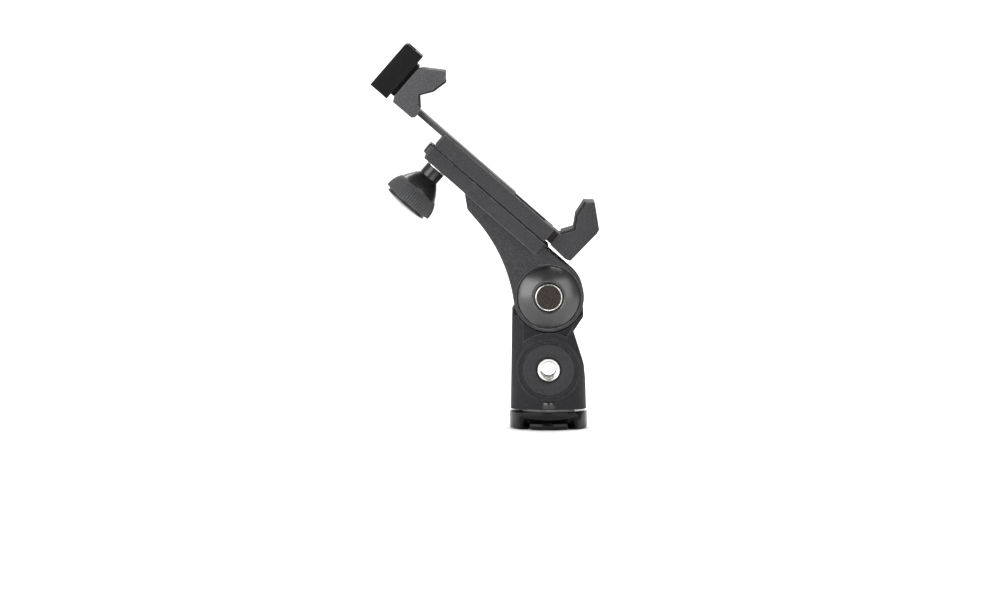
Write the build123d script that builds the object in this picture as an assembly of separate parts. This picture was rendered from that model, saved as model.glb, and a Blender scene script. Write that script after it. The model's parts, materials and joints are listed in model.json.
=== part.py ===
from build123d import *

import math
import os

# Tilting phone clamp bracket, in millimetres.
# +X is the phone's side, +Z is up, and the hinge pin lies along Y.
# The origin is where the base thread's axis leaves the underside of the foot.
# Clamp parts are drawn flat, with X along the plates and Z out of the phone's
# back rest, centred on the hinge pin, and are then tilted to their rest angle.

# ---- driving dimensions ----
fit_gap = 0.05
running_gap = 0.05
thread_core_radius = 2.56

foot_radius = 13.2
foot_top = 6.1
foot_underside = 0.3
scoop_half_width = 9.8
scoop_back = 7.9
tab_half_width = 6.5
tab_top = 2.15
hub_radius = 5.0
hub_top = 13.4

neck_half_width = 12.8
neck_half_depth = 12.2
neck_corner_radius = 9.5
neck_bottom = 6.9
tongue_half_depth = 6.3
recess_half_depth = 10.6
boss_height = 20.5
boss_radius = 10.85
boss_face = 12.9

hinge_height = 45.2
plate_angle = 41.0
ear_radius = 11.95
ear_inner = 7.0
ear_outer = 12.0
hinge_bolt_radius = 3.0

cradle_low_end = -12.9
cradle_high_end = -62.6
cradle_back = 7.95
cradle_front = 12.75
plate_half_width = 15.4
rail_half_width = 9.8
rail_back = 9.2
rail_front = 13.0
housing_back = 13.05
housing_front = 18.4
housing_high_end = -62.5
housing_low_end = -13.5
groove_low_end = -17.4
lock_axis = -56.9
lock_seat = 7.2

slide_back = 17.2
slide_front = 19.1
slide_half_width = 9.0
slide_low_end = -31.2
slide_high_end = -82.0
jaw_half_width = 12.6
pad_half_width = 12.1
tenon_half_width = 8.5
shoe_half_width = 12.0
shoe_low_face = -85.2
shoe_high_face = -92.5
shoe_front = 33.3
shoe_back = 14.65

knob_rib_count = 48


# ---- small helpers ----
def block(x0, x1, y0, y1, z0, z1):
    """A box from its limits."""
    centre = Pos((x0 + x1) / 2, (y0 + y1) / 2, (z0 + z1) / 2)
    return centre * Box(x1 - x0, y1 - y0, z1 - z0)


def rod(radius, z0, z1):
    """A cylinder on the Z axis from its limits."""
    return Pos(0, 0, (z0 + z1) / 2) * Cylinder(radius, z1 - z0)


def cross_rod(radius, x, z, y0, y1):
    """A cylinder along Y."""
    return Pos(x, (y0 + y1) / 2, z) * Rot(90, 0, 0) * Cylinder(radius, y1 - y0)


def side_shape(outline, y0, y1):
    """An XZ outline carried through from y0 to y1."""
    if isinstance(outline, list):
        outline = Polyline(*outline, close=True)
    return extrude(Plane.XZ.offset(-y1) * make_face(outline), amount=y1 - y0)


def turned(points):
    """A (radius, height) outline turned about Z."""
    return revolve(Plane.XZ * make_face(Polyline(*points, close=True)), Axis.Z)


def tilted(shape):
    """Moves a clamp part from its flat drawing to its rest angle on the hinge."""
    return Pos(0, 0, hinge_height) * Rot(0, plate_angle, 0) * shape


def circle_point(radius, degrees, x=0.0, z=0.0):
    angle = math.radians(degrees)
    return (x + radius * math.cos(angle), z + radius * math.sin(angle))


def pan_head_screw(head_radius, head_height, shank_radius, length):
    """A screw on the Z axis, head above z = 0, with a cross recess."""
    head = rod(head_radius, 0, head_height)
    head = fillet(head.edges().sort_by(Axis.Z)[-1], head_height * 0.45)
    recess_reach = head_radius * 0.62
    slot = block(-recess_reach, recess_reach, -0.3, 0.3, head_height * 0.45, head_height + 1)
    return head + rod(shank_radius, -length, 0.1) - slot - Rot(0, 0, 90) * slot


def countersunk_screw(head_radius, head_height, shank_radius, length):
    """A flat-topped screw on the Z axis with its top face at z = 0."""
    screw = turned([
        (0, 0), (head_radius, 0), (head_radius, -0.25),
        (shank_radius, -head_height), (shank_radius, -length), (0, -length),
    ])
    recess_reach = head_radius * 0.6
    slot = block(-recess_reach, recess_reach, -0.3, 0.3, -0.8, 1)
    return screw - slot - Rot(0, 0, 90) * slot


# ---- foot ----
def foot_disc():
    disc = rod(foot_radius, foot_underside, foot_top)
    disc = fillet(disc.edges().filter_by(GeomType.CIRCLE), 0.4)
    scoop_side = side_shape(
        Line((scoop_half_width, -1), (-scoop_half_width, -1))
        + Line((-scoop_half_width, -1), (-scoop_half_width, 4.6))
        + ThreePointArc((-scoop_half_width, 4.6), (0, 3.5), (scoop_half_width, 4.6))
        + Line((scoop_half_width, 4.6), (scoop_half_width, -1)),
        -20, 20,
    )
    flare = scoop_back + 1.0
    inner_half_width = tab_half_width + 0.65
    scoop_plan = Polyline(
        (-scoop_half_width, -20), (scoop_half_width, -20), (scoop_half_width, -flare),
        (inner_half_width, -scoop_back), (-inner_half_width, -scoop_back),
        (-scoop_half_width, -flare), close=True,
    )
    scoop = extrude(make_face(scoop_plan), amount=6) & scoop_side
    disc = disc - scoop - Rot(0, 0, 180) * scoop
    disc -= rod(8.3, 0, tab_top + 0.1)
    disc -= block(-inner_half_width, inner_half_width, -9, 9, 0, tab_top + 0.1)
    disc -= rod(6.4, 0, 4.4)
    disc -= rod(hub_radius + fit_gap, 0, 10)
    return disc - pad_ring(fit_gap, 1.0 + fit_gap)


def pad_ring(grow, top):
    ring = rod(12.1 + grow, 0, top) - rod(9.1 - grow, -1, 10)
    return ring & block(-15, 15, -6.2 - grow, 6.2 + grow, -1, 10)


def foot_pads():
    return pad_ring(0, 1.0)


def foot_lock_plate():
    """Closing plate under the foot, with a finger tab in each scoop."""
    tabs = block(-tab_half_width, tab_half_width, -14, 14, 0.35, tab_top)
    tabs &= rod(foot_radius - 0.1, 0, 5)
    tabs = chamfer(tabs.edges().filter_by(Axis.Z), 0.3)
    return tabs + rod(8.2, 0.35, tab_top) - rod(4.25, -1, 5)


def base_hub():
    """Metal hub: tripod thread below, turning shaft for the neck above."""
    hub = turned([
        (0, 0), (4.2, 0), (4.2, 2.25), (6.3, 2.25), (6.3, 4.35), (hub_radius, 4.35),
        (hub_radius, 11.2), (4.3, 11.2), (4.3, 12.3), (hub_radius, 12.3),
        (hub_radius, hub_top - 0.4), (hub_radius - 0.4, hub_top), (0, hub_top),
    ])
    return hub - rod(thread_core_radius, -1, 11.5)


def hub_retaining_ring():
    ring = rod(6.6, 11.25, 12.25) - rod(4.33, 10, 14)
    return ring - block(0, 10, -1.6, 1.6, 10, 14)


def pan_washer():
    return rod(9.0, foot_top + 0.03, neck_bottom - 0.05) - rod(hub_radius + 0.3, 0, 10)


# ---- neck ----
def neck_plan_prism():
    plan = RectangleRounded(2 * neck_half_width, 2 * neck_half_depth, neck_corner_radius)
    return Pos(0, 0, neck_bottom) * extrude(plan, amount=50)


def neck_block():
    """Full-depth part of the neck: boss collar with a horn on each side."""
    arc_left = (-10.5, boss_height + math.sqrt(12.5 ** 2 - 10.5 ** 2))
    arc_right = (5.9, boss_height + math.sqrt(12.5 ** 2 - 5.9 ** 2))
    outline = (
        Polyline(
            arc_right, (10.1, 37.9), (11.8, 39.3), (11.8, 38.3), (8.3, 33.4),
            (12.0, 21.8), (12.45, 17.3), (neck_half_width, neck_bottom),
            (-neck_half_width, neck_bottom), (-12.3, 38.7), (-10.5, 38.7), arc_left,
        )
        + ThreePointArc(arc_left, (0, boss_height + 12.5), arc_right)
    )
    return side_shape(outline, -neck_half_depth, neck_half_depth)


def neck_tongue():
    """Middle of the neck, which stands between the bracket's ears."""
    outline = [
        (-neck_half_width, neck_bottom), (-12.35, 40.7), (-11.0, 42.7), (11.0, 42.7),
        (11.7, 41.5), (11.8, 38.3), (8.3, 33.4), (12.0, 21.8), (12.45, 17.3),
        (neck_half_width, neck_bottom),
    ]
    tongue = side_shape(outline, -tongue_half_depth, tongue_half_depth)
    knuckle = cross_rod(11.3, 0, hinge_height, -tongue_half_depth, tongue_half_depth)
    return tongue + knuckle


def neck_recess_floor():
    """Shallow floor between the horns, just outside the turning ears."""
    floor = side_shape([
        (-11.2, 22.0), (-11.2, 38.6), (9.8, 38.6), (9.8, 37.5), (7.5, 33.6), (7.5, 22.0),
    ], -recess_half_depth, recess_half_depth)
    return floor - cross_rod(ear_radius + 0.4, 0, hinge_height, -20, 20)


def insert_hex(grow):
    hexagon = RegularPolygon(5.6 + grow, 6)
    depth = Plane.XZ.offset(0.1 - grow)
    return Pos(0, 0, boss_height) * extrude(depth * hexagon, amount=4.3 + 2 * grow)


neck_screw_places = [(-7.6, 9.9), (7.6, 9.9), (-7.9, 25.7), (7.9, 25.7)]


def neck_screws():
    screw = pan_head_screw(2.1, 1.5, 1.25, 13.5)
    screws = [Pos(x, 7.5, z) * Rot(-90, 0, 0) * screw for x, z in neck_screw_places]
    return Compound(children=screws)


def neck_whole():
    """The closed neck before it is split into its two halves."""
    neck = (neck_block() + neck_tongue() + neck_recess_floor()) & neck_plan_prism()
    collar = cross_rod(boss_radius, 0, boss_height, -boss_face, 0)
    neck += chamfer(collar.faces().sort_by(Axis.Y)[0].edges(), 0.35)
    pad_seat = cross_rod(9.1, 0, boss_height, -20, -boss_face + 0.7)
    neck -= pad_seat
    neck -= cross_rod(3.85, 0, boss_height, -20, 20)
    neck -= cross_rod(4.7, 0, boss_height, 0, 20)
    neck -= insert_hex(fit_gap)
    neck -= cross_rod(hinge_bolt_radius + running_gap, 0, hinge_height, -20, 20)
    neck -= rod(hub_radius + running_gap, 0, 11)
    neck -= rod(7.0, 11.0, 13.8)
    for x, z in neck_screw_places:
        neck -= cross_rod(1.3, x, z, -6.5, 20)
        neck -= cross_rod(2.3, x, z, 7.45, 20)
    return neck


def neck_front():
    half = neck_whole() & block(-20, 20, -20, -0.02, 0, 80)
    return half - index_post(fit_gap)


def neck_rear():
    return neck_whole() & block(-20, 20, 0.02, 20, 0, 80)


def index_post(grow=0.0):
    """Glossy upright post at the foot of the neck, under the side boss."""
    post = Pos(0, -neck_half_depth + 1.6, 0) * rod(2.55 + grow, 7.05 - grow, 9.7)
    return post - cross_rod(boss_radius + 0.1 - grow, 0, boss_height, -20, 0)


def side_insert():
    tube = cross_rod(3.8, 0, boss_height, -13.1, -0.2) + insert_hex(0)
    tube = tube - cross_rod(thread_core_radius, 0, boss_height, -20, 5)
    mouth = Pos(0, -13.1, boss_height) * Rot(90, 0, 0) * Cone(
        thread_core_radius, 3.4, 0.7, align=(Align.CENTER, Align.CENTER, Align.MAX))
    return tube - mouth


def side_pad():
    """Rubber facing of the side boss."""
    pad = turned([
        (4.3, 0), (4.3, 0.75), (5.5, 1.05), (8.6, 1.05), (8.95, 0.7), (8.95, 0),
    ])
    return Pos(0, -boss_face + 0.7, boss_height) * Rot(90, 0, 0) * pad


# ---- tilting bracket ----
def bracket_profile():
    """Side outline of the bracket, drawn flat about the hinge pin."""
    top_meets_ear = (0, ear_radius)
    leaving_angle = 229
    back_meets_ear = circle_point(ear_radius, leaving_angle)
    leaving_way = circle_point(1, leaving_angle - 90)
    chin = (-37.1, 3.8)
    return (
        Polyline(
            chin, (-40.2, 4.3), (-44.6, cradle_back), (cradle_high_end, cradle_back),
            (cradle_high_end, cradle_front), (cradle_low_end, cradle_front),
            (cradle_low_end, ear_radius), top_meets_ear,
        )
        + ThreePointArc(top_meets_ear, circle_point(ear_radius, -30), back_meets_ear)
        + TangentArc(back_meets_ear, chin, tangent=leaving_way)
    )


def tongue_clearance():
    """Space swept by the neck's tongue as the bracket tilts."""
    sweep_start = 182 + plate_angle
    sweep_end = 407 + plate_angle
    rim = [circle_point(30, a) for a in range(int(sweep_start), int(sweep_end) + 1, 15)]
    wedge = side_shape([(0, 0)] + rim, -ear_inner, ear_inner)
    corners = wedge & cross_rod(14.2, 0, 0, -ear_inner, ear_inner)
    return cross_rod(12.0, 0, 0, -ear_inner, ear_inner) + corners


cradle_screw_places = [(-48.5, -12.3), (-48.5, 12.3), (-19.0, -13.65), (-19.0, 13.65)]
screw_seat = cradle_back + 1.5


def waist_cut(side):
    """Shallow step that makes the high end of the cradle a little narrower."""
    waist = plate_half_width - 0.9
    outline = (
        Polyline((-70, 20), (-70, waist), (-47.5, waist))
        + Spline((-47.5, waist), (-41.5, plate_half_width + 0.01), tangents=[(1, 0), (1, 0)])
        + Polyline((-41.5, plate_half_width + 0.01), (-41.5, 20), (-70, 20))
    )
    cut = extrude(make_face(outline), amount=20)
    return cut if side == 1 else mirror(cut, Plane.XZ)


def tilt_bracket():
    arm = side_shape(bracket_profile(), -ear_outer, ear_outer)
    arm = fillet(arm.faces().filter_by(Axis.Y).edges().filter_by(GeomType.CIRCLE), 0.7)
    cradle = block(cradle_high_end, cradle_low_end, -plate_half_width, plate_half_width,
                   cradle_back, cradle_front)
    cradle = fillet(cradle.edges().filter_by(Axis.Z), 0.6)
    for side in (-1, 1):
        cradle -= waist_cut(side)
    bracket = arm + cradle
    bracket -= block(-70, -10.95, -rail_half_width - fit_gap, rail_half_width + fit_gap,
                     rail_back - fit_gap, 20)
    bracket -= tongue_clearance()
    bracket -= cross_rod(hinge_bolt_radius + fit_gap, 0, 0, -20, 20)
    bracket -= cross_rod(10.9, 0, 0, -20, -ear_outer + 0.5)
    bracket -= Pos(lock_axis, 0, 0) * rod(2.8, 0, 20)
    for x, y in cradle_screw_places:
        bracket -= Pos(x, y, 0) * (rod(0.9, 0, 20) + rod(1.4, 0, screw_seat + 0.05))
    return tilted(bracket)


def hinge_bolt():
    head = cross_rod(4.6, 0, 0, -15.15, -12.95)
    head = chamfer(head.faces().sort_by(Axis.Y)[0].edges(), 0.22)
    head -= cross_rod(4.2, 0, 0, -16, -14.6)
    return Pos(0, 0, hinge_height) * (head + cross_rod(hinge_bolt_radius, 0, 0, -13, 25.4))


def hinge_bolt_face():
    """Rough inlay in the head of the hinge bolt."""
    return cross_rod(4.15, 0, hinge_height, -14.95, -14.62)


def hinge_dome():
    """Domed cup washer round the head of the hinge bolt."""
    outline = (
        Polyline((10.35, 1.0), (10.35, 0), (3.2, 0), (3.2, 1.35), (5.05, 1.35),
                 (5.05, 3.5), (5.35, 3.85), (5.75, 3.85))
        + ThreePointArc((5.75, 3.85), (8.3, 2.6), (10.35, 1.0))
    )
    dome = revolve(Plane.XZ * make_face(outline), Axis.Z)
    return Pos(0, -ear_outer + 0.48, hinge_height) * Rot(90, 0, 0) * dome


def friction_washers():
    middle = (tongue_half_depth + ear_inner) / 2
    ring = rod(9.6, -0.3, 0.3) - rod(hinge_bolt_radius + 0.1, -1, 1)
    pair = [Pos(0, side * middle, hinge_height) * Rot(90, 0, 0) * ring for side in (-1, 1)]
    return Compound(children=pair)


def hinge_washer():
    ring = cross_rod(6.4, 0, hinge_height, ear_outer + 0.03, ear_outer + 0.85)
    return ring - cross_rod(hinge_bolt_radius + 0.1, 0, hinge_height, 10, 20)


# ---- knobs, drawn hanging down from the seat at z = 0 ----
def knob_body(pocket):
    outline = (
        Polyline((4.0, -4.1), (3.6, -3.9), (3.6, 0), (0, 0), (0, -14.65), (6.9, -14.65),
                 (6.9, -9.0), (7.3, -9.0))
        + ThreePointArc((7.3, -9.0), (5.8, -6.4), (4.0, -4.1))
    )
    return revolve(Plane.XZ * make_face(outline), Axis.Z) - pocket


def knob_grip():
    """Ribbed band: a turned ring cut to a star by its ribs."""
    outline = (
        Polyline((7.0, -9.05), (7.5, -9.05))
        + ThreePointArc((7.5, -9.05), (8.75, -11.6), (9.1, -14.35))
        + Polyline((9.1, -14.35), (8.8, -14.7), (7.0, -14.7), (7.0, -9.05))
    )
    band = revolve(Plane.XZ * make_face(outline), Axis.Z)
    step = 360 / knob_rib_count
    valley = turned([(7.0, -9.2), (7.28, -9.2), (8.4, -11.6), (8.72, -15.2), (7.0, -15.2)])
    star = []
    for rib in range(knob_rib_count):
        star.append(circle_point(9.5, (rib - 0.26) * step))
        star.append(circle_point(9.5, (rib + 0.26) * step))
        star.append(circle_point(7.2, (rib + 0.5) * step))
    ribs = Pos(0, 0, -15) * extrude(make_face(Polyline(*star, close=True)), amount=8)
    return (band & ribs) + (band & valley)


def knob_cap():
    rim = turned([
        (0, -14.75), (7.9, -14.75), (7.9, -15.0), (7.55, -15.2), (7.9, -15.4),
        (7.9, -17.5), (0, -17.5),
    ])
    dome_radius = 30.0
    dome = Pos(0, 0, dome_radius - 16.95) * Sphere(dome_radius)
    return rim & dome


def hex_bar(radius, z0, z1):
    return Pos(0, 0, z0) * extrude(RegularPolygon(radius, 6), amount=z1 - z0)


def lock_knob_place(shape):
    return tilted(Pos(lock_axis, 0, lock_seat) * shape)


def hinge_knob_place(shape):
    return Pos(0, ear_outer + 1.0, hinge_height) * Rot(90, 0, 0) * shape


def lock_screw():
    """Clamp screw moulded into the lock knob by its hexagon head."""
    tip = 14.4 - lock_seat
    shank = rod(2.5, -6, tip)
    shank = chamfer(shank.edges().sort_by(Axis.Z)[-1], 0.5)
    return shank + hex_bar(4.6, -10.0, -6.0)


def lock_knob_body():
    pocket = rod(2.55, -6.5, 1) + hex_bar(4.65, -15, -5.95)
    return knob_body(pocket)


def hinge_knob_body():
    pocket = rod(3.35, -7, 1) + hex_bar(4.55, -15, -6.35)
    return knob_body(pocket)


def hinge_knob_insert():
    """Brass nut inside the hinge knob."""
    return hex_bar(4.5, -13.2, -6.4) - rod(hinge_bolt_radius + running_gap, -20, 5)


# ---- clamp plates ----
def rail_plate():
    rail = block(-64.2, -11.1, -rail_half_width, rail_half_width, rail_back, rail_front)
    rail = fillet(rail.edges().filter_by(Axis.Z), 1.5)
    rail = chamfer(rail.edges().filter_by(Axis.Y), 0.3)
    return tilted(rail - Pos(lock_axis, 0, 0) * rod(2.5 + running_gap, 0, 20))


def slide_section(grow):
    """Dovetail cross-section of the slide, as half widths at three heights."""
    wide = slide_half_width + grow
    narrow = wide - 0.9
    top = slide_front + (2 if grow else 0)
    return Polyline(
        (-wide, slide_back - grow), (wide, slide_back - grow), (narrow, 18.25),
        (narrow, top), (-narrow, top), (-narrow, 18.25), close=True,
    )


def slide_bar(x0, x1, grow):
    section = Plane.YZ.offset(x0) * make_face(slide_section(grow))
    return extrude(section, amount=x1 - x0)


def lower_jaw_tenon(grow):
    half_width = tenon_half_width + grow
    return block(-17.2 - grow, -11.0, -half_width, half_width, 13.9 - grow, 16.6 + grow)


def front_housing():
    housing = block(housing_high_end, housing_low_end, -plate_half_width, plate_half_width,
                    housing_back, housing_front)
    housing = fillet(housing.edges(), 0.55)
    housing -= slide_bar(-70, groove_low_end, 0.1)
    housing -= Pos(lock_axis, 0, 0) * (
        block(-4.1, 4.1, -6.1, 6.1, 14.3, 18) + rod(2.8, 10, 15))
    housing -= lower_jaw_tenon(fit_gap)
    for x, y in cradle_screw_places:
        housing -= Pos(x, y, 0) * rod(0.85, 10, 16.8)
    for y in lower_jaw_screw_places:
        housing -= Pos(0, y, 15.25) * Rot(0, 90, 0) * rod(1.05, -24, -10)
    return tilted(housing)


def pressure_shoe():
    shoe = block(-4, 4, -6, 6, 14.5, 17.0)
    return tilted(Pos(lock_axis, 0, 0) * chamfer(shoe.edges(), 0.3))


def cradle_screws():
    screw = pan_head_screw(1.3, 1.0, 0.8, 7.1)
    flipped = Pos(0, 0, screw_seat) * Rot(180, 0, 0) * screw
    return tilted(Compound(children=[Pos(x, y, 0) * flipped for x, y in cradle_screw_places]))


def lock_washer():
    ring = rod(3.7, lock_seat + 0.05, cradle_back - 0.05) - rod(2.6, 0, 20)
    return tilted(Pos(lock_axis, 0, 0) * ring)


# ---- jaws ----
def jaw_body(outline, grip, radius):
    """Extruded jaw with every long edge rounded except those behind the pad."""
    jaw = side_shape(outline, -jaw_half_width, jaw_half_width)
    sharp = [Vector(x, 0, z) for x, z in grip]
    outer = [
        edge for edge in jaw.edges().filter_by(Axis.Y)
        if min((edge.center() - corner).length for corner in sharp) > 0.1
    ]
    return fillet(outer, radius)


def pad_strip(outer, inner):
    return side_shape(outer + inner[::-1], -pad_half_width, pad_half_width)


lower_jaw_screw_places = (-5.5, 5.5)


def jaw_spacer():
    """Dark arch round the tenon, between the housing and the lower jaw."""
    spacer = block(housing_low_end + 0.03, -11.34, -12.0, 12.0, 14.0, 18.3)
    return tilted(spacer - lower_jaw_tenon(fit_gap))


lower_grip = [(-12.1, 32.1), (-11.3, 26.9), (-8.9, 23.0), (-11.3, 19.2)]
lower_grip_back = [(-11.35, 32.6), (-10.5, 27.1), (-8.0, 23.0), (-10.6, 18.75)]
upper_grip = [(-73.6, 32.0), (-74.7, 26.8), (-77.5, 22.8), (-74.6, 19.75)]
upper_grip_back = [(-74.3, 32.35), (-75.4, 27.0), (-78.25, 22.8), (-75.3, 19.75)]


def lower_jaw():
    jaw = jaw_body([
        (-11.3, 13.7), (-4.3, 13.3), (-2.5, 14.0), (-1.8, 26.8), (-2.1, 28.4),
        (-9.3, 34.4), *lower_grip_back, (-11.3, 18.5),
    ], lower_grip_back, 0.45)
    jaw += lower_jaw_tenon(0)
    for y in lower_jaw_screw_places:
        jaw -= Pos(0, y, 15.25) * Rot(0, 90, 0) * (rod(1.3, -20, 0) + rod(2.1, -4.6, 0))
    return tilted(jaw)


def lower_jaw_pad():
    return tilted(pad_strip(lower_grip, lower_grip_back))


def lower_jaw_screws():
    screw = pan_head_screw(1.9, 1.3, 1.0, 18.0)
    pair = [Pos(-4.55, y, 15.25) * Rot(0, 90, 0) * screw for y in lower_jaw_screw_places]
    return tilted(Compound(children=pair))


arm_screw_places = [(-79.2, -5.0), (-79.2, 5.0)]
shoe_screw_heights = (20.5, 27.5)


def slide_arm():
    bar = slide_bar(slide_high_end, slide_low_end, 0)
    for x, y in arm_screw_places:
        bar -= Pos(x, y, 0) * rod(1.2, 10, 30)
    return tilted(bar)


def upper_jaw():
    jaw = jaw_body([
        (-83.8, 16.9), (-82.9, 15.2), (-74.7, 15.3), (-73.8, 16.2), (-73.8, 17.6),
        (-74.4, 19.75), *upper_grip_back[::-1], (-76.2, 34.7), (-82.6, 30.4), (-83.8, 29.0),
    ], upper_grip_back + [(-74.4, 19.75)], 0.4)
    channel = slide_half_width + fit_gap
    jaw -= block(slide_high_end - fit_gap, -70, -channel, channel,
                 slide_back - fit_gap, slide_front + fit_gap)
    for x, y in arm_screw_places:
        jaw -= Pos(x, y, 0) * (rod(1.2, 10, 22) + rod(2.1, 10, 16.55))
    for z in shoe_screw_heights:
        jaw -= Pos(0, 0, z) * Rot(0, 90, 0) * rod(1.15, -85, -80.3)
    return tilted(jaw)


def upper_jaw_pad():
    return tilted(pad_strip(upper_grip, upper_grip_back))


def arm_screws():
    screw = pan_head_screw(1.9, 1.3, 1.15, 5.3)
    flipped = Pos(0, 0, 16.5) * Rot(180, 0, 0) * screw
    return tilted(Compound(children=[Pos(x, y, 0) * flipped for x, y in arm_screw_places]))


# ---- accessory shoe ----
def shoe_riser():
    riser = block(shoe_low_face + 0.03, -83.83, -10, 10, 16.8, 30.1)
    for z in shoe_screw_heights:
        riser -= Pos(0, 0, z) * Rot(0, 90, 0) * rod(1.2, -90, -80)
    return tilted(riser)


def cold_shoe():
    shoe = side_shape([
        (shoe_low_face, shoe_back), (shoe_high_face, shoe_back),
        (shoe_high_face, shoe_front - 0.9), (shoe_high_face + 0.9, shoe_front),
        (shoe_low_face, shoe_front),
    ], -shoe_half_width, shoe_half_width)
    shoe = fillet(shoe.edges().filter_by(Axis.X), 0.5)
    shoe -= block(-91.0, -88.5, -9.35, 9.35, 0, 50)
    shoe -= block(-99, -90, -6.3, 6.3, 0, 50)
    for z in shoe_screw_heights:
        shoe -= Pos(0, 0, z) * Rot(0, 90, 0) * (
            rod(1.2, -90, -80) + Pos(0, 0, -88.6) * Cone(2.3, 1.2, 1.3,
                align=(Align.CENTER, Align.CENTER, Align.MIN)))
    return tilted(shoe)


def shoe_spring():
    """Leaf on the floor of the shoe, with two raised tongues."""
    leaf = block(-88.82, -88.52, -8.6, 8.6, 16.2, 31.8)
    for side in (-1, 1):
        tongue = block(-89.1, -88.6, 5.0, 7.8, 19, 29)
        leaf += tongue if side == 1 else mirror(tongue, Plane.XZ)
    for z in shoe_screw_heights:
        leaf -= Pos(0, 0, z) * Rot(0, 90, 0) * rod(2.1, -95, -85)
    return tilted(leaf)


def shoe_screws():
    screw = countersunk_screw(1.95, 1.2, 1.1, 8.0)
    pair = [Pos(-88.6, 0, z) * Rot(0, -90, 0) * screw for z in shoe_screw_heights]
    return tilted(Compound(children=pair))


parts = {
    "foot_disc": foot_disc(),
    "foot_pads": foot_pads(),
    "foot_lock_plate": foot_lock_plate(),
    "base_hub": base_hub(),
    "hub_retaining_ring": hub_retaining_ring(),
    "pan_washer": pan_washer(),
    "neck_front": neck_front(),
    "neck_rear": neck_rear(),
    "neck_screws": neck_screws(),
    "index_post": index_post(),
    "side_insert": side_insert(),
    "side_pad": side_pad(),
    "tilt_bracket": tilt_bracket(),
    "hinge_bolt": hinge_bolt(),
    "hinge_bolt_face": hinge_bolt_face(),
    "hinge_dome": hinge_dome(),
    "friction_washers": friction_washers(),
    "hinge_washer": hinge_washer(),
    "hinge_knob_body": hinge_knob_place(hinge_knob_body()),
    "hinge_knob_insert": hinge_knob_place(hinge_knob_insert()),
    "hinge_knob_grip": hinge_knob_place(knob_grip()),
    "hinge_knob_cap": hinge_knob_place(knob_cap()),
    "rail_plate": rail_plate(),
    "front_housing": front_housing(),
    "pressure_shoe": pressure_shoe(),
    "cradle_screws": cradle_screws(),
    "lock_washer": lock_washer(),
    "lock_screw": lock_knob_place(lock_screw()),
    "lock_knob_body": lock_knob_place(lock_knob_body()),
    "lock_knob_grip": lock_knob_place(knob_grip()),
    "lock_knob_cap": lock_knob_place(knob_cap()),
    "jaw_spacer": jaw_spacer(),
    "lower_jaw": lower_jaw(),
    "lower_jaw_pad": lower_jaw_pad(),
    "lower_jaw_screws": lower_jaw_screws(),
    "slide_arm": slide_arm(),
    "upper_jaw": upper_jaw(),
    "upper_jaw_pad": upper_jaw_pad(),
    "arm_screws": arm_screws(),
    "shoe_riser": shoe_riser(),
    "cold_shoe": cold_shoe(),
    "shoe_spring": shoe_spring(),
    "shoe_screws": shoe_screws(),
}

os.makedirs("parts", exist_ok=True)
for name, shape in parts.items():
    export_step(shape, f"parts/{name}.step")
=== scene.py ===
import json
import math

import bmesh
import bpy
from mathutils import Matrix, Vector


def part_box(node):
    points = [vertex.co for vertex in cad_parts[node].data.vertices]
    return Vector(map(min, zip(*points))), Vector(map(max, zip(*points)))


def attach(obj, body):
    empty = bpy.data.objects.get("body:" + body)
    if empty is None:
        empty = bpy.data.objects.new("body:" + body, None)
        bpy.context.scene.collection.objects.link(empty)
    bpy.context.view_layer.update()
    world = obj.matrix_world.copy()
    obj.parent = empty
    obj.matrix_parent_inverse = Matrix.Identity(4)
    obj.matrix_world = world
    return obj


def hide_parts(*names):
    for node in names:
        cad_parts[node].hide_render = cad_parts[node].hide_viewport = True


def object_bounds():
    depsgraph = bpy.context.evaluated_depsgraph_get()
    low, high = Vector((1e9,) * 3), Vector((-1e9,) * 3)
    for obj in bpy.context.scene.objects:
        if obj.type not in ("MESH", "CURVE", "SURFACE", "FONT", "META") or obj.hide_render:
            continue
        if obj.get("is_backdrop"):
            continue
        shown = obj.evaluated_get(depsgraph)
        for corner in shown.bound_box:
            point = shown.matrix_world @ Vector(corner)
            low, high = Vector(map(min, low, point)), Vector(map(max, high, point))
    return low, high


# Looks of the tilting phone clamp bracket. Shapes are in millimetres and are
# scaled to metres when a mesh is made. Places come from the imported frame.

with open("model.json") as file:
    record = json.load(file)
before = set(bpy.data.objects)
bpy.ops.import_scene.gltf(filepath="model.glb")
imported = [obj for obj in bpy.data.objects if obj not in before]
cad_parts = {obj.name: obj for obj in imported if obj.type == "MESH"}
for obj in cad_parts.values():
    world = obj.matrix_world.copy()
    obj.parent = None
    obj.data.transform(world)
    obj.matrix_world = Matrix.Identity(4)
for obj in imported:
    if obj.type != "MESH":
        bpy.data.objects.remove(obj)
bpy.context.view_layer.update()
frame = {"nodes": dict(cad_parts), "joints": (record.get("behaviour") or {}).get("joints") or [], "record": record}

MM = 0.001
ROUND_STEPS = 128
SHARP_ANGLE = math.radians(40)
BEVEL_ANGLE = math.radians(32)
KNOB_RIBS = 60
RIB_DEPTH = 0.34
BAND_TOP = -9.05
BAND_BOTTOM = -14.7
LOCK_SEAT = 7.2
HINGE_KNOB_SEAT = 13.0
THREAD_CORE = 2.56
THREAD_PITCH = 1.27

joints = {joint["name"]: joint for joint in frame["joints"]}
bodies = frame["record"]["behaviour"]["bodies"]
body_of_node = {node: body for body, nodes in bodies.items() for node in nodes}


# ---- places ----
def in_mm(vector):
    return Vector(vector) / MM


hinge = in_mm(joints["tilt"]["pos_m"])


def facing(point, way):
    """A place at point whose Z axis points along way."""
    return Matrix.Translation(point) @ Vector(way).to_track_quat("Z", "Y").to_matrix().to_4x4()


def node_low(node):
    return in_mm(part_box(node)[0])


def node_high(node):
    return in_mm(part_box(node)[1])


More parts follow.
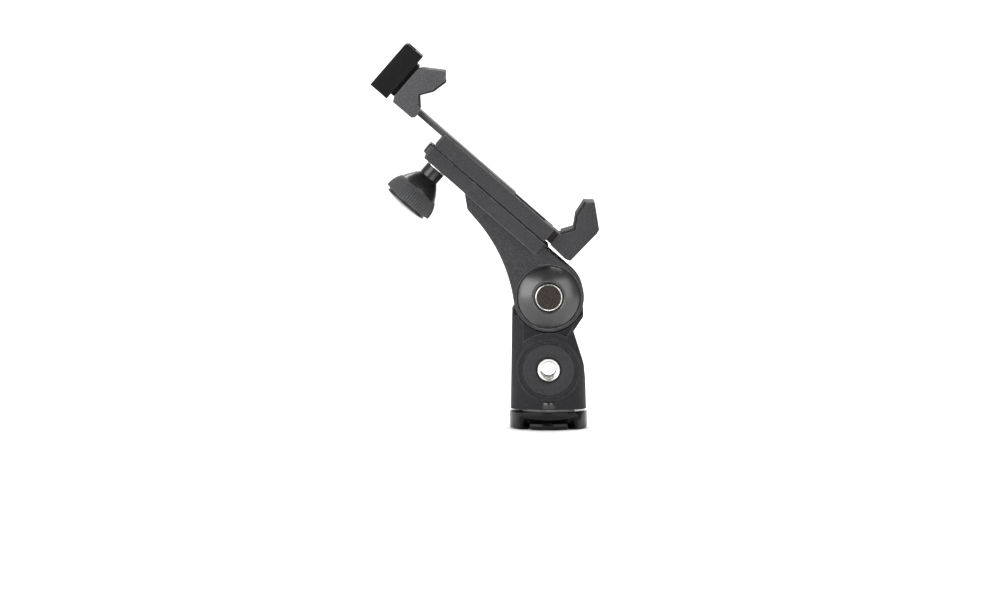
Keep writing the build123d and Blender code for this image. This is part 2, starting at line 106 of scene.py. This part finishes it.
# ---- outlines ----
def arc_through(start, middle, end, steps=12):
    """Points of the circular arc through three points, ends included."""
    ax, ay = start
    bx, by = middle
    cx, cy = end
    d = 2 * (ax * (by - cy) + bx * (cy - ay) + cx * (ay - by))
    ux = ((ax**2 + ay**2) * (by - cy) + (bx**2 + by**2) * (cy - ay)
          + (cx**2 + cy**2) * (ay - by)) / d
    uy = ((ax**2 + ay**2) * (cx - bx) + (bx**2 + by**2) * (ax - cx)
          + (cx**2 + cy**2) * (bx - ax)) / d
    radius = math.hypot(ax - ux, ay - uy)
    first = math.atan2(ay - uy, ax - ux)
    through = (math.atan2(by - uy, bx - ux) - first) % math.tau
    sweep = (math.atan2(cy - uy, cx - ux) - first) % math.tau
    if through > sweep:
        sweep -= math.tau
    return [
        (ux + radius * math.cos(first + sweep * i / steps),
         uy + radius * math.sin(first + sweep * i / steps))
        for i in range(steps + 1)
    ]


def softened(points, radius, steps=4):
    """A closed outline with its corners rounded, except where it meets the turning axis."""
    soft = []
    count = len(points)
    for i, point in enumerate(points):
        here = Vector(point)
        before = Vector(points[i - 1]) - here
        after = Vector(points[(i + 1) % count]) - here
        reach = min(radius, before.length * 0.45, after.length * 0.45)
        if here.x < 1e-6 or before.angle(after) > math.radians(165):
            soft.append(tuple(here))
            continue
        start = here + before.normalized() * reach
        end = here + after.normalized() * reach
        for k in range(steps + 1):
            t = k / steps
            soft.append(tuple(start * (1 - t) ** 2 + here * 2 * t * (1 - t) + end * t**2))
    return soft


# ---- meshes ----
def finish_piece(name, mesh_builder, material, node, place=Matrix()):
    """Turns a millimetre bmesh into a placed, smooth-shaded piece that stands for a CAD node."""
    mesh_builder.transform(Matrix.Scale(MM, 4) @ place)
    bmesh.ops.recalc_face_normals(mesh_builder, faces=mesh_builder.faces)
    mesh = bpy.data.meshes.new(name)
    mesh_builder.to_mesh(mesh)
    mesh_builder.free()
    for face in mesh.polygons:
        face.use_smooth = True
    mesh.set_sharp_from_angle(angle=SHARP_ANGLE)
    mesh.materials.append(material)
    piece = bpy.data.objects.new(name, mesh)
    bpy.context.scene.collection.objects.link(piece)
    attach(piece, body_of_node[node])
    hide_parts(node)


def turned_mesh(outline, steps, radius_at=None):
    """An outline of (radius, height) turned about Z. radius_at may vary it round the axis."""
    builder = bmesh.new()
    rings = []
    for radius, height in outline:
        if radius < 1e-6:
            rings.append([builder.verts.new((0, 0, height))])
            continue
        ring = []
        for i in range(steps):
            angle = math.tau * i / steps
            r = radius_at(radius, height, angle) if radius_at else radius
            ring.append(builder.verts.new((r * math.cos(angle), r * math.sin(angle), height)))
        rings.append(ring)
    for ring, other in zip(rings, rings[1:] + rings[:1]):
        if len(ring) == 1 and len(other) == 1:
            continue
        for i in range(steps):
            j = (i + 1) % steps
            if len(ring) == 1:
                builder.faces.new((ring[0], other[i], other[j]))
            elif len(other) == 1:
                builder.faces.new((ring[i], ring[j], other[0]))
            else:
                builder.faces.new((ring[i], ring[j], other[j], other[i]))
    return builder


def refined_mesh(node, bevel, steps):
    """A clean copy of a CAD node with its sharp edges rounded."""
    builder = bmesh.new()
    builder.from_mesh(frame["nodes"][node].data)
    builder.transform(Matrix.Scale(1 / MM, 4))
    bmesh.ops.remove_doubles(builder, verts=builder.verts, dist=0.002)
    bmesh.ops.dissolve_limit(
        builder, angle_limit=math.radians(0.6), verts=builder.verts, edges=builder.edges)
    sharp = [e for e in builder.edges if e.is_manifold and e.calc_face_angle() > BEVEL_ANGLE]
    bmesh.ops.bevel(
        builder, geom=sharp, offset=bevel, segments=steps, profile=0.5,
        affect="EDGES", clamp_overlap=True, miter_outer="ARC")
    bmesh.ops.remove_doubles(builder, verts=builder.verts, dist=0.0005)
    return builder


def refine(node, material, bevel, steps=3):
    """Replaces a CAD node by its rounded copy."""
    finish_piece(node + "_shell", refined_mesh(node, bevel, steps), material, node)


def turn(name, outline, material, node, place, round_over=0.0, radius_at=None, steps=ROUND_STEPS):
    """A turned piece that stands for a CAD node."""
    if round_over:
        outline = softened(outline, round_over)
    finish_piece(name, turned_mesh(outline, steps, radius_at), material, node, place)


# ---- materials ----
class Finish:
    """A procedural finish built on one Principled shader."""

    def __init__(self, name, rough, metal=0.0, specular=0.5):
        self.material = bpy.data.materials.new(name)
        self.material.use_nodes = True
        self.tree = self.material.node_tree
        self.shader = self.tree.nodes["Principled BSDF"]
        self.shader.inputs["Metallic"].default_value = metal
        self.shader.inputs["Roughness"].default_value = rough
        self.shader.inputs["Specular IOR Level"].default_value = specular
        self.places = self.node("ShaderNodeTexCoord").outputs["Object"]

    def node(self, kind, **settings):
        node = self.tree.nodes.new(kind)
        for key, value in settings.items():
            setattr(node, key, value)
        return node

    def link(self, source, target):
        self.tree.links.new(source, target)

    def noise(self, size_mm, detail=2.0, rough=0.5, stretch=(1, 1, 1)):
        """Noise whose features are about size_mm across."""
        scaling = self.node("ShaderNodeMapping")
        scaling.inputs["Scale"].default_value = stretch
        self.link(self.places, scaling.inputs["Vector"])
        noise = self.node("ShaderNodeTexNoise")
        noise.inputs["Scale"].default_value = 1 / (size_mm * MM)
        noise.inputs["Detail"].default_value = detail
        noise.inputs["Roughness"].default_value = rough
        self.link(scaling.outputs["Vector"], noise.inputs["Vector"])
        return noise.outputs["Fac"]

    def grains(self, size_mm):
        """Rounded cells, for cast or leather-like grain."""
        cells = self.node("ShaderNodeTexVoronoi", feature="SMOOTH_F1")
        cells.inputs["Scale"].default_value = 1 / (size_mm * MM)
        self.link(self.places, cells.inputs["Vector"])
        return cells.outputs["Distance"]

    def ranged(self, value, low, high, from_low=0.3, from_high=0.7):
        ranger = self.node("ShaderNodeMapRange")
        self.link(value, ranger.inputs["Value"])
        ranger.inputs["From Min"].default_value = from_low
        ranger.inputs["From Max"].default_value = from_high
        ranger.inputs["To Min"].default_value = low
        ranger.inputs["To Max"].default_value = high
        return ranger.outputs["Result"]

    def mixed(self, factor, dark, light):
        mix = self.node("ShaderNodeMix", data_type="RGBA")
        self.link(factor, mix.inputs["Factor"])
        for socket, colour in ((mix.inputs[6], dark), (mix.inputs[7], light)):
            if isinstance(colour, tuple):
                socket.default_value = (*colour, 1)
            else:
                self.link(colour, socket)
        return mix.outputs[2]

    def product(self, first, second):
        times = self.node("ShaderNodeMath", operation="MULTIPLY", use_clamp=True)
        self.link(first, times.inputs[0])
        self.link(second, times.inputs[1])
        return times.outputs["Value"]

    def edge_highlight_and_wear_mask(self, radius_mm=0.35):
        """High along edges, where a rounded-over normal leaves the surface's own: the mask for painted edge
        highlights and abraded edges.
        """
        rounded = self.node("ShaderNodeBevel", samples=4)
        rounded.inputs["Radius"].default_value = radius_mm * MM
        dot = self.node("ShaderNodeVectorMath", operation="DOT_PRODUCT")
        geometry = self.node("ShaderNodeNewGeometry")
        self.link(rounded.outputs["Normal"], dot.inputs[0])
        self.link(geometry.outputs["Normal"], dot.inputs[1])
        return self.ranged(dot.outputs["Value"], 1.0, 0.0, 0.9, 0.997)

    def bump(self, heights, depth_mm, normal=None):
        bump = self.node("ShaderNodeBump")
        bump.inputs["Strength"].default_value = 1.0
        bump.inputs["Distance"].default_value = depth_mm * MM
        self.link(heights, bump.inputs["Height"])
        if normal is not None:
            self.link(normal, bump.inputs["Normal"])
        return bump.outputs["Normal"]

    def set(self, **sockets):
        for name, value in sockets.items():
            self.link(value, self.shader.inputs[name.replace("_", " ")])


def moulded_plastic(name, colour, rough, grain_mm=0.36, depth_mm=0.035, edge=0.2, specular=0.18):
    """Spark-eroded moulding texture with soft cloudy scuffing and paler edges; the pale edges are partly abrasion
    and partly a painted highlight along rounded edges.
    """
    finish = Finish(name, rough, specular=specular)
    clouds = finish.noise(9.0, detail=4.0)
    fine = finish.noise(grain_mm, detail=3.0, rough=0.6)
    speckle = finish.noise(grain_mm * 1.3, detail=3.0)
    dark = tuple(c * 0.7 for c in colour)
    light = tuple(c * 1.3 for c in colour)
    spark = tuple(min(1.0, c * 1.9 + 0.004) for c in colour)
    # Edge colour: paler, partly from abrasion and partly a painted highlight that stands in for light catching
    # rounded edges.
    rubbed_edge_and_highlight = tuple(min(1.0, c * 2.4 + edge) for c in colour)
    base = finish.mixed(finish.ranged(clouds, 0.2, 0.8), dark, light)
    base = finish.mixed(finish.ranged(speckle, 0, 0.7, 0.45, 0.7), base, spark)
    edge_wear_and_highlight = finish.product(finish.edge_highlight_and_wear_mask(), finish.ranged(finish.noise(2.2, 3.0), 0.2, 0.75))
    finish.set(
        Base_Color=finish.mixed(edge_wear_and_highlight, base, rubbed_edge_and_highlight),
        Roughness=finish.ranged(clouds, rough - 0.06, rough + 0.07),
        Normal=finish.bump(speckle, depth_mm, finish.bump(fine, depth_mm)),
    )
    return finish.material


def gloss_plastic(name, colour, rough, highlight_and_wear_level=0.3, specular=0.55):
    """Polished moulding with faint flow ripples, fine scuffs and a little dust; its edges turn pale, partly
    abrasion and partly a painted edge highlight.
    """
    finish = Finish(name, rough, specular=specular)
    ripple = finish.noise(6.0, detail=1.0)
    scuffs = finish.noise(0.5, detail=5.0, rough=0.7, stretch=(1.0, 1.0, 0.25))
    dust = finish.noise(0.22, detail=1.0)
    light = tuple(c * 1.5 + 0.006 for c in colour)
    pale_dust_and_highlight = tuple(c * 2.5 + 0.03 for c in colour)
    base = finish.mixed(finish.ranged(scuffs, 0, 0.5, 0.45, 0.8), colour, light)
    base = finish.mixed(finish.ranged(dust, 0, 0.25, 0.68, 0.8), base, pale_dust_and_highlight)
    # Pale edges: partly abrasion, partly a painted highlight along rounded edges.
    edge_wear_and_highlight = finish.product(finish.edge_highlight_and_wear_mask(0.25), finish.ranged(scuffs, 0, highlight_and_wear_level))
    finish.set(
        Base_Color=finish.mixed(edge_wear_and_highlight, base, pale_dust_and_highlight),
        Roughness=finish.ranged(scuffs, rough, rough + 0.16, 0.4, 0.75),
        Normal=finish.bump(scuffs, 0.002, finish.bump(ripple, 0.02)),
    )
    return finish.material


def grainy_rubber(name, colour, rough, grain_mm, depth_mm):
    """Rubber with a pebbled surface and worn, paler high spots."""
    finish = Finish(name, rough, specular=0.35)
    pebbles = finish.grains(grain_mm)
    fine = finish.noise(grain_mm * 0.4, detail=3.0)
    clouds = finish.noise(5.0, detail=3.0)
    light = tuple(c * 1.7 + 0.01 for c in colour)
    dark = tuple(c * 0.75 for c in colour)
    base = finish.mixed(finish.ranged(pebbles, 0, 1, 0.1, 0.6), dark, light)
    base = finish.mixed(finish.ranged(clouds, 0, 0.35), base, light)
    spark = tuple(c * 3.5 + 0.01 for c in colour)
    base = finish.mixed(finish.ranged(fine, 0, 0.8, 0.52, 0.72), base, spark)
    finish.set(
        Base_Color=base,
        Roughness=finish.ranged(pebbles, rough - 0.08, rough + 0.1, 0.1, 0.7),
        Normal=finish.bump(fine, depth_mm * 0.3, finish.bump(pebbles, depth_mm)),
    )
    return finish.material


def metal(name, colour, rough, stretch=(1, 1, 1), grain_mm=0.15, depth_mm=0.004, tint=0.8):
    """Bright metal with tool marks along one way, smudges and darker stains."""
    finish = Finish(name, rough, metal=1.0)
    marks = finish.noise(grain_mm, detail=4.0, rough=0.6, stretch=stretch)
    smudge = finish.noise(3.0, detail=3.0)
    dark = tuple(c * tint for c in colour)
    base = finish.mixed(finish.ranged(smudge, 0, 1), dark, colour)
    base = finish.mixed(finish.ranged(marks, 0, 0.4, 0.5, 0.8), base, dark)
    finish.set(
        Base_Color=base,
        Roughness=finish.ranged(marks, rough * 0.75, rough * 1.4 + 0.03),
        Normal=finish.bump(marks, depth_mm),
    )
    return finish.material


def cast_metal(name, colour, rough, grain_mm, depth_mm):
    """Rough cast or sintered face."""
    finish = Finish(name, rough, metal=0.75)
    grain = finish.grains(grain_mm)
    fine = finish.noise(grain_mm * 0.5, detail=4.0)
    dark = tuple(c * 0.35 for c in colour)
    light = tuple(min(1.0, c * 1.7) for c in colour)
    base = finish.mixed(finish.ranged(grain, 0, 1, 0.05, 0.6), dark, colour)
    base = finish.mixed(finish.ranged(fine, 0, 0.7, 0.5, 0.75), base, light)
    finish.set(
        Base_Color=base,
        Roughness=finish.ranged(fine, rough - 0.1, rough + 0.15),
        Normal=finish.bump(fine, depth_mm, finish.bump(grain, depth_mm)),
    )
    return finish.material


neck_plastic = moulded_plastic("neck_plastic", (0.0085, 0.0085, 0.0098), 0.6, 0.42, edge=0.1)
bracket_plastic = moulded_plastic("bracket_plastic", (0.025, 0.025, 0.027), 0.6)
housing_plastic = moulded_plastic("housing_plastic", (0.025, 0.025, 0.027), 0.62)
lower_jaw_plastic = moulded_plastic("lower_jaw_plastic", (0.025, 0.025, 0.027), 0.65, edge=0.12)
upper_jaw_plastic = moulded_plastic("upper_jaw_plastic", (0.045, 0.045, 0.048), 0.65, edge=0.12)
spacer_plastic = moulded_plastic("spacer_plastic", (0.011, 0.009, 0.008), 0.6, edge=0.02)
dome_plastic = moulded_plastic("dome_plastic", (0.004, 0.004, 0.0045), 0.27, 0.25, 0.004,
                               edge=0.03, specular=0.9)
knob_plastic = moulded_plastic("knob_plastic", (0.009, 0.0085, 0.009), 0.26, 0.25, 0.004,
                               edge=0.04, specular=0.7)
foot_black = gloss_plastic("foot_black", (0.0015, 0.0015, 0.0018), 0.12, specular=0.2)
post_black = gloss_plastic("post_black", (0.006, 0.006, 0.007), 0.12)
# The cold shoe gets a strong pale line along its bevelled edges: a painted highlight.
shoe_black = gloss_plastic("shoe_black", (0.001, 0.001, 0.0012), 0.42, highlight_and_wear_level=3.0, specular=0.15)
grip_rubber = grainy_rubber("grip_rubber", (0.022, 0.022, 0.023), 0.5, 0.3, 0.01)
pad_rubber = grainy_rubber("pad_rubber", (0.0045, 0.0045, 0.0055), 0.65, 0.8, 0.12)
jaw_rubber = grainy_rubber("jaw_rubber", (0.004, 0.004, 0.0042), 0.75, 0.4, 0.02)
foot_rubber = grainy_rubber("foot_rubber", (0.018, 0.018, 0.018), 0.7, 0.6, 0.03)
bolt_steel = metal("bolt_steel", (0.78, 0.77, 0.75), 0.18)
insert_steel = metal("insert_steel", (0.82, 0.8, 0.77), 0.2)
hub_steel = metal("hub_steel", (0.66, 0.65, 0.63), 0.3)
spring_steel = metal("spring_steel", (0.36, 0.36, 0.38), 0.35, (0.1, 1, 0.1))
rail_metal = metal("rail_metal", (0.07, 0.071, 0.065), 0.45, (0.1, 1, 0.1))
slide_metal = metal("slide_metal", (0.1, 0.1, 0.098), 0.45, (0.15, 1, 0.15))
black_screw = metal("black_screw", (0.05, 0.05, 0.052), 0.38, tint=0.5)
brass = metal("brass", (0.72, 0.53, 0.25), 0.28)
bolt_face_metal = cast_metal("bolt_face", (0.034, 0.026, 0.022), 0.55, 0.45, 0.05)
washer_polymer = moulded_plastic("washer_polymer", (0.5, 0.49, 0.46), 0.45, 0.3, 0.004)


# ---- foot and neck ----
def make_foot():
    refine("foot_disc", foot_black, 0.12)
    refine("foot_lock_plate", foot_black, 0.15)
    refine("foot_pads", foot_rubber, 0.12)
    refine("hub_retaining_ring", spring_steel, 0.08, 1)
    refine("pan_washer", washer_polymer, 0.06, 1)


def threaded_hole(outline_back, mouth_z, end_z, major):
    """A turned outline whose bore, from mouth to end, carries a real helical thread."""
    core = THREAD_CORE
    pitch = math.copysign(THREAD_PITCH, mouth_z - end_z)
    rows = int((mouth_z - end_z) / pitch * 10)
    bore = [(core, mouth_z + (end_z - mouth_z) * i / rows) for i in range(rows + 1)]

    def radius_at(radius, height, angle):
        if abs(radius - core) > 1e-6:
            return radius
        turn_part = ((height - end_z) / pitch - angle / math.tau) % 1.0
        depth = 1 - abs(2 * turn_part - 1)
        fade = min(1.0, (mouth_z - height) / pitch, (height - end_z) / pitch)
        return core + (major - core) * depth * max(0.0, fade)

    return bore + outline_back, radius_at


def make_base_hub():
    top = node_high("base_hub").z
    outline, radius_at = threaded_hole(
        [(0, 11.5), (0, top), (4.6, top), (5.0, top - 0.4), (5.0, 12.3), (4.3, 12.3),
         (4.3, 11.2), (5.0, 11.2), (5.0, 4.35), (6.3, 4.35), (6.3, 2.25), (4.2, 2.25),
         (4.2, 0.0)],
        mouth_z=0.0, end_z=11.5, major=3.1)
    turn("base_hub_threaded", outline, hub_steel, "base_hub", Matrix(), radius_at=radius_at)


def make_neck():
    refine("neck_front", neck_plastic, 0.22)
    refine("neck_rear", neck_plastic, 0.22)
    refine("neck_screws", black_screw, 0.08, 1)
    refine("index_post", post_black, 0.3)


def boss_place():
    """On the side boss, at the face of the insert, looking out at the viewer's side."""
    centre = (node_low("side_insert") + node_high("side_insert")) / 2
    return facing((centre.x, node_low("side_insert").y, centre.z), (0, -1, 0))


def make_side_thread():
    length = node_high("side_insert").y - node_low("side_insert").y
    outline, radius_at = threaded_hole(
        [(THREAD_CORE, -length), (3.8, -length), (5.4, -length + 0.2), (5.4, -8.9), (3.8, -8.7),
         (3.8, -0.12), (3.68, 0.0), (3.42, 0.0), (2.95, -0.32)],
        mouth_z=-0.7, end_z=-length + 0.05, major=3.12)
    turn("side_insert_threaded", outline, insert_steel, "side_insert", boss_place(),
         radius_at=radius_at)
    pad = [(4.3, -0.85), (4.3, -0.2), (5.45, 0.15), (8.5, 0.18), (8.95, -0.2), (8.95, -0.85)]
    turn("side_pad_round", pad, pad_rubber, "side_pad", boss_place(), round_over=0.25)


# ---- hinge ----
def make_hinge():
    refine("tilt_bracket", bracket_plastic, 0.28)
    refine("friction_washers", washer_polymer, 0.05, 1)
    place = facing((hinge.x, node_low("hinge_dome").y, hinge.z), (0, -1, 0))
    dome = (
        arc_through((10.35, -2.85), (8.3, -1.25), (5.8, 0.0), 14)
        + [(5.38, -0.06), (5.12, -0.3), (5.05, -0.7), (5.05, -2.5), (3.2, -2.5), (3.2, -3.85),
           (10.35, -3.85)]
    )
    turn("hinge_dome_cup", dome, dome_plastic, "hinge_dome", place)
    head_face = node_low("hinge_bolt").y
    place = facing((hinge.x, head_face, hinge.z), (0, -1, 0))
    tail = head_face - node_high("hinge_bolt").y
    bolt = [(0, -0.55), (4.2, -0.55), (4.22, -0.1), (4.32, 0.0), (4.46, -0.05), (4.6, -0.22),
            (4.6, -2.2), (3.0, -2.2), (3.0, tail + 0.4), (2.6, tail), (0, tail)]
    turn("hinge_bolt_turned", bolt, bolt_steel, "hinge_bolt", place)
    face = [(0, -0.22), (3.8, -0.24), (4.12, -0.3), (4.15, -0.53), (0, -0.53)]
    turn("hinge_bolt_face_cast", face, bolt_face_metal, "hinge_bolt_face", place)
    washer_out = node_high("hinge_washer").y
    place = facing((hinge.x, washer_out, hinge.z), (0, 1, 0))
    washer = [(3.1, 0), (6.4, 0), (6.4, -0.8), (3.1, -0.8)]
    turn("hinge_washer_turned", washer, bolt_steel, "hinge_washer", place, round_over=0.2)


# ---- knobs, drawn hanging down from their seat ----
def knob_rib(radius, height, angle):
    """Rounded ribs that run out towards both edges of the band."""
    if radius < 7.2:
        return radius
    fade = min(1.0, (BAND_TOP - height) / 0.8, (height - BAND_BOTTOM) / 0.35)
    wave = abs(math.sin(angle * KNOB_RIBS / 2)) ** 0.7
    return radius - RIB_DEPTH * max(0.0, fade) * (1 - wave)


def make_knob(prefix, place, bore, pocket_top):
    """Bored body, ribbed band and domed cap of one locking knob."""
    body = softened(
        [(bore, 0), (3.6, 0), (3.6, -3.85), (3.95, -4.05)]
        + arc_through((4.0, -4.15), (5.78, -6.4), (7.3, -9.0), 10)
        + [(6.9, -9.02), (6.9, -14.65), (4.65, -14.65), (4.65, pocket_top), (bore, pocket_top)],
        0.18)
    turn(prefix + "_body_turned", body, knob_plastic, prefix + "_body", place)
    band = (
        [(7.0, BAND_TOP)]
        + arc_through((7.45, BAND_TOP), (8.72, -11.6), (9.1, -14.35), 12)
        + [(9.03, -14.57), (8.8, BAND_BOTTOM), (7.0, BAND_BOTTOM)]
    )
    turn(prefix + "_grip_ribbed", band, grip_rubber, prefix + "_grip", place,
         radius_at=knob_rib, steps=KNOB_RIBS * 8)
    cap = softened(
        [(0, -14.75), (7.85, -14.75), (7.85, -15.0), (7.5, -15.2), (7.85, -15.4), (7.85, -15.75),
         (7.5, -15.98)]
        + arc_through((7.2, -16.05), (3.6, -16.73), (0.0, -16.95), 10), 0.1)
    turn(prefix + "_cap_turned", cap, knob_plastic, prefix + "_cap", place)


def make_knobs():
    lock_axis = in_mm(joints["lock_knob_turn"]["pos_m"])
    out = -Vector(joints["lock_knob_turn"]["axis"])
    hinge_to_lock = lock_axis - hinge
    seat = lock_axis + out * (LOCK_SEAT - hinge_to_lock.dot(out))
    make_knob("lock_knob", facing(seat, out), 2.55, -5.95)
    washer = [(2.6, 0.05), (3.7, 0.05), (3.7, 0.7), (2.6, 0.7)]
    turn("lock_washer_turned", washer, bolt_steel, "lock_washer", facing(seat, out), round_over=0.15)
    refine("lock_screw", bolt_steel, 0.1, 1)
    hinge_seat = (hinge.x, HINGE_KNOB_SEAT, hinge.z)
    make_knob("hinge_knob", facing(hinge_seat, (0, -1, 0)), 3.35, -6.35)
    refine("hinge_knob_insert", brass, 0.1, 1)


# ---- clamp ----
def make_clamp():
    refine("rail_plate", rail_metal, 0.2)
    refine("front_housing", housing_plastic, 0.15)
    refine("pressure_shoe", bolt_steel, 0.1, 1)
    refine("cradle_screws", black_screw, 0.08, 1)
    refine("slide_arm", slide_metal, 0.16)
    refine("jaw_spacer", spacer_plastic, 0.1, 1)
    refine("lower_jaw", lower_jaw_plastic, 0.25)
    refine("upper_jaw", upper_jaw_plastic, 0.25)
    refine("lower_jaw_pad", jaw_rubber, 0.2)
    refine("upper_jaw_pad", jaw_rubber, 0.2)
    refine("lower_jaw_screws", black_screw, 0.08, 1)
    refine("arm_screws", black_screw, 0.08, 1)
    refine("shoe_riser", shoe_black, 0.15)
    refine("cold_shoe", shoe_black, 0.22)
    refine("shoe_spring", spring_steel, 0.06, 1)
    refine("shoe_screws", bolt_steel, 0.06, 1)


# ---- studio ----
def backdrop_mesh():
    """A sheet of paper on the floor that curves up behind the object."""
    floor_front, floor_back, rise, curve_radius, half_width = -3.0, 1.6, 3.0, 0.8, 4.0
    line = [(floor_front, 0.0), (0.0, 0.0)]
    for i in range(17):
        angle = math.radians(90 * i / 16)
        line.append((floor_back + curve_radius * math.sin(angle),
                     curve_radius * (1 - math.cos(angle))))
    line.append((floor_back + curve_radius, rise))
    builder = bmesh.new()
    rows = [[builder.verts.new((x, y, z)) for x in (-half_width, 0, half_width)] for y, z in line]
    for row, above in zip(rows, rows[1:]):
        for i in range(2):
            builder.faces.new((row[i], row[i + 1], above[i + 1], above[i]))
    mesh = bpy.data.meshes.new("studio_floor")
    builder.to_mesh(mesh)
    builder.free()
    for face in mesh.polygons:
        face.use_smooth = True
    return mesh


def make_studio():
    paper = Finish("studio_paper", 0.9, specular=0.1)
    fibre = paper.noise(40.0, detail=2.0)
    paper.set(Base_Color=paper.mixed(paper.ranged(fibre, 0, 1), (0.84, 0.84, 0.84),
                                     (0.86, 0.86, 0.86)))
    mesh = backdrop_mesh()
    mesh.materials.append(paper.material)
    floor = bpy.data.objects.new("studio_floor", mesh)
    bpy.context.scene.collection.objects.link(floor)
    floor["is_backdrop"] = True
    world = bpy.data.worlds.new("studio")
    world.use_nodes = True
    world.node_tree.nodes["Background"].inputs["Color"].default_value = (1, 1, 1, 1)
    world.node_tree.nodes["Background"].inputs["Strength"].default_value = 0.3
    bpy.context.scene.world = world
    bpy.context.scene.view_settings.view_transform = "Standard"


def softbox(name, side_angle, height_angle, distance, width, height, radiance, target):
    """A rectangular light seen from target at the given angles. 0 is the camera's side."""
    side, up = math.radians(side_angle), math.radians(height_angle)
    way = Vector((math.sin(side) * math.cos(up), -math.cos(side) * math.cos(up), math.sin(up)))
    data = bpy.data.lights.new(name, "AREA")
    data.shape = "RECTANGLE"
    data.size = width
    data.size_y = height
    data.energy = radiance * math.pi * width * height
    light = bpy.data.objects.new(name, data)
    light.location = target + way * distance
    light.rotation_euler = (-way).to_track_quat("-Z", "Y").to_euler()
    bpy.context.scene.collection.objects.link(light)


def make_lights():
    middle = (Vector(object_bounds()[0]) + Vector(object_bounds()[1])) / 2
    softbox("left_softbox", -49, 14, 0.95, 1.14, 0.9, 3.8, middle)
    softbox("right_softbox", 38, 14, 0.95, 0.8, 0.9, 2.7, middle)
    softbox("top_softbox", 180, 75, 1.3, 1.5, 1.2, 4.5, middle)
    wall = Vector((0.0, 2.3, 0.6))
    softbox("backdrop_light", 0, 50, 1.6, 3.0, 0.8, 7.0, wall)


def make_camera():
    """Side view from the -Y side, a little above the object."""
    distance = 2.1
    framed_width = 0.339
    aim = Vector((-0.01646, 0, 0.04345))
    data = bpy.data.cameras.new("camera")
    data.sensor_width = 36
    data.lens = data.sensor_width * distance / framed_width
    camera = bpy.data.objects.new("camera", data)
    camera.location = aim + Vector((0, -distance, 0.132))
    camera.rotation_euler = (aim - camera.location).to_track_quat("-Z", "Y").to_euler()
    bpy.context.scene.collection.objects.link(camera)
    bpy.context.scene.camera = camera


make_foot()
make_base_hub()
make_neck()
make_side_thread()
make_hinge()
make_knobs()
make_clamp()
make_studio()
make_lights()
make_camera()
